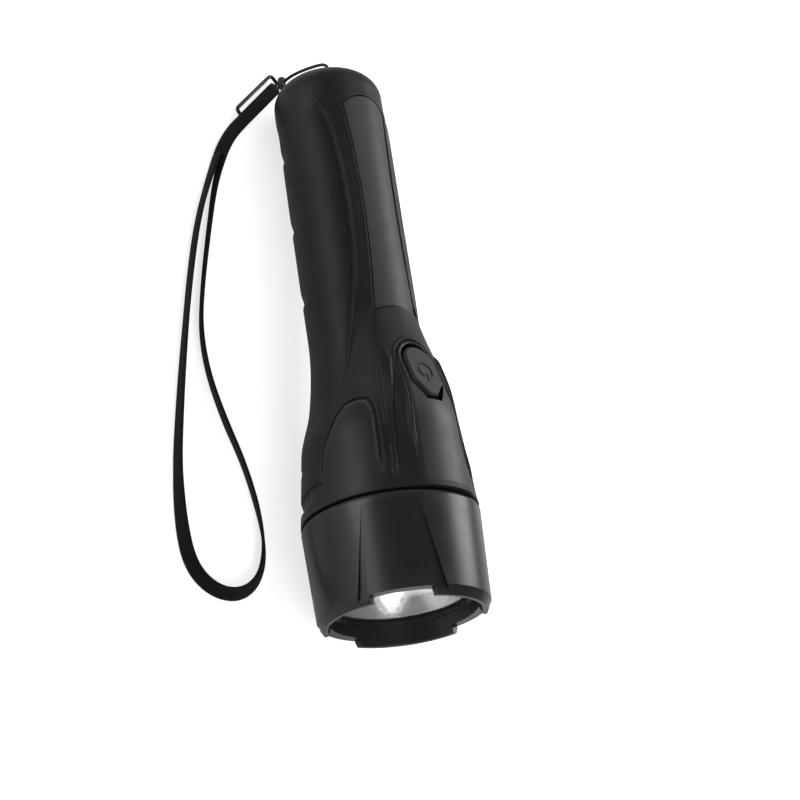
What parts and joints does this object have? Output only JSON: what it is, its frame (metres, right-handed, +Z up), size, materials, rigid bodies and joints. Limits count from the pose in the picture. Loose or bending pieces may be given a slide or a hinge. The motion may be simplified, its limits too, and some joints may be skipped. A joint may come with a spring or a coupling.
{
  "type": "battery torch",
  "caption": "Rubber-covered hand torch with a push switch, screw-on faceted head, lens and reflector, cells inside and a wrist strap on a tail cord.",
  "frame": {"origin": "middle of the underside of the torch's box without its strap, on the surface it lies on", "axes": "+Y from the lens towards the tail along the floor, +Z up with the push button on top, +X to the right seen from the lens side; the torch's own axis dips 3.79 degrees to the tail"},
  "size_m": [0.0996, 0.2211, 0.0629],
  "materials": {
    "rubber": "matte, fine leather grain",
    "hard_black": "moulded, satin",
    "satin_trim": "fine satin",
    "gloss_black": "semi-gloss moulded facets",
    "button_rubber": "smooth",
    "clear": "clear, polished",
    "mirror_bowl": "vacuum metallised",
    "steel": "plated",
    "cell_jacket": "plain printed sleeve",
    "board": "white solder mask",
    "emitter": "phosphor",
    "inner_plastic": "moulded",
    "seal_rubber": "smooth",
    "cord_fibre": "round braid",
    "webbing": "woven narrow tape",
    "crimp": "satin",
    "wire_black": "black coated wire"
  },
  "bodies": {
    "body": {"battery_tube": "hard_black", "rubber_grip": "rubber", "head_collar": "hard_black", "label_inlay": "satin_trim", "switch_surround": "satin_trim", "switch_base": "inner_plastic", "switch_contacts": "steel", "return_spring": "steel", "cell_front": "cell_jacket", "cell_rear": "cell_jacket", "tail_spring": "steel", "tail_contact": "steel", "contact_strip": "steel", "head_seal": "seal_rubber", "front_spring": "steel", "tail_cord": "cord_fibre", "cord_knot": "crimp", "strap_slider": "wire_black", "strap_end": "webbing", "wrist_strap": "webbing"},
    "lamp_unit": {"reflector": "mirror_bowl", "led_board": "board", "led_chip": "emitter", "led_dome": "clear", "board_screws": "steel", "lamp_carrier": "inner_plastic", "centre_contact": "steel"},
    "head": {"head_ring": "gloss_black", "lens": "clear", "lens_seal": "seal_rubber"},
    "button": {"button_cap": "button_rubber", "button_stem": "inner_plastic"}
  },
  "joints": [
    {"name": "head_advance", "type": "slide", "parent": "body", "child": "lamp_unit", "axis": [0, -0.9978, 0.0661], "range_m": [0, 0.006], "deforming": ["front_spring"]},
    {"name": "head_turn", "type": "hinge", "parent": "lamp_unit", "child": "head", "pos_m": [0, -0.08665, 0.03216], "axis": [0, -0.9978, 0.0661], "range_deg": [0, 720]},
    {"name": "button_press", "type": "slide", "parent": "body", "child": "button", "axis": [0, -0.3414, -0.9399], "range_m": [0, 0.0012], "stiffness_N_per_m": 400, "springref_m": -0.001, "deforming": ["return_spring"]}
  ],
  "couplings": [
    {"joint": "head_advance", "follows": "head_turn", "m_per_rad": 0.00047746}
  ]
}
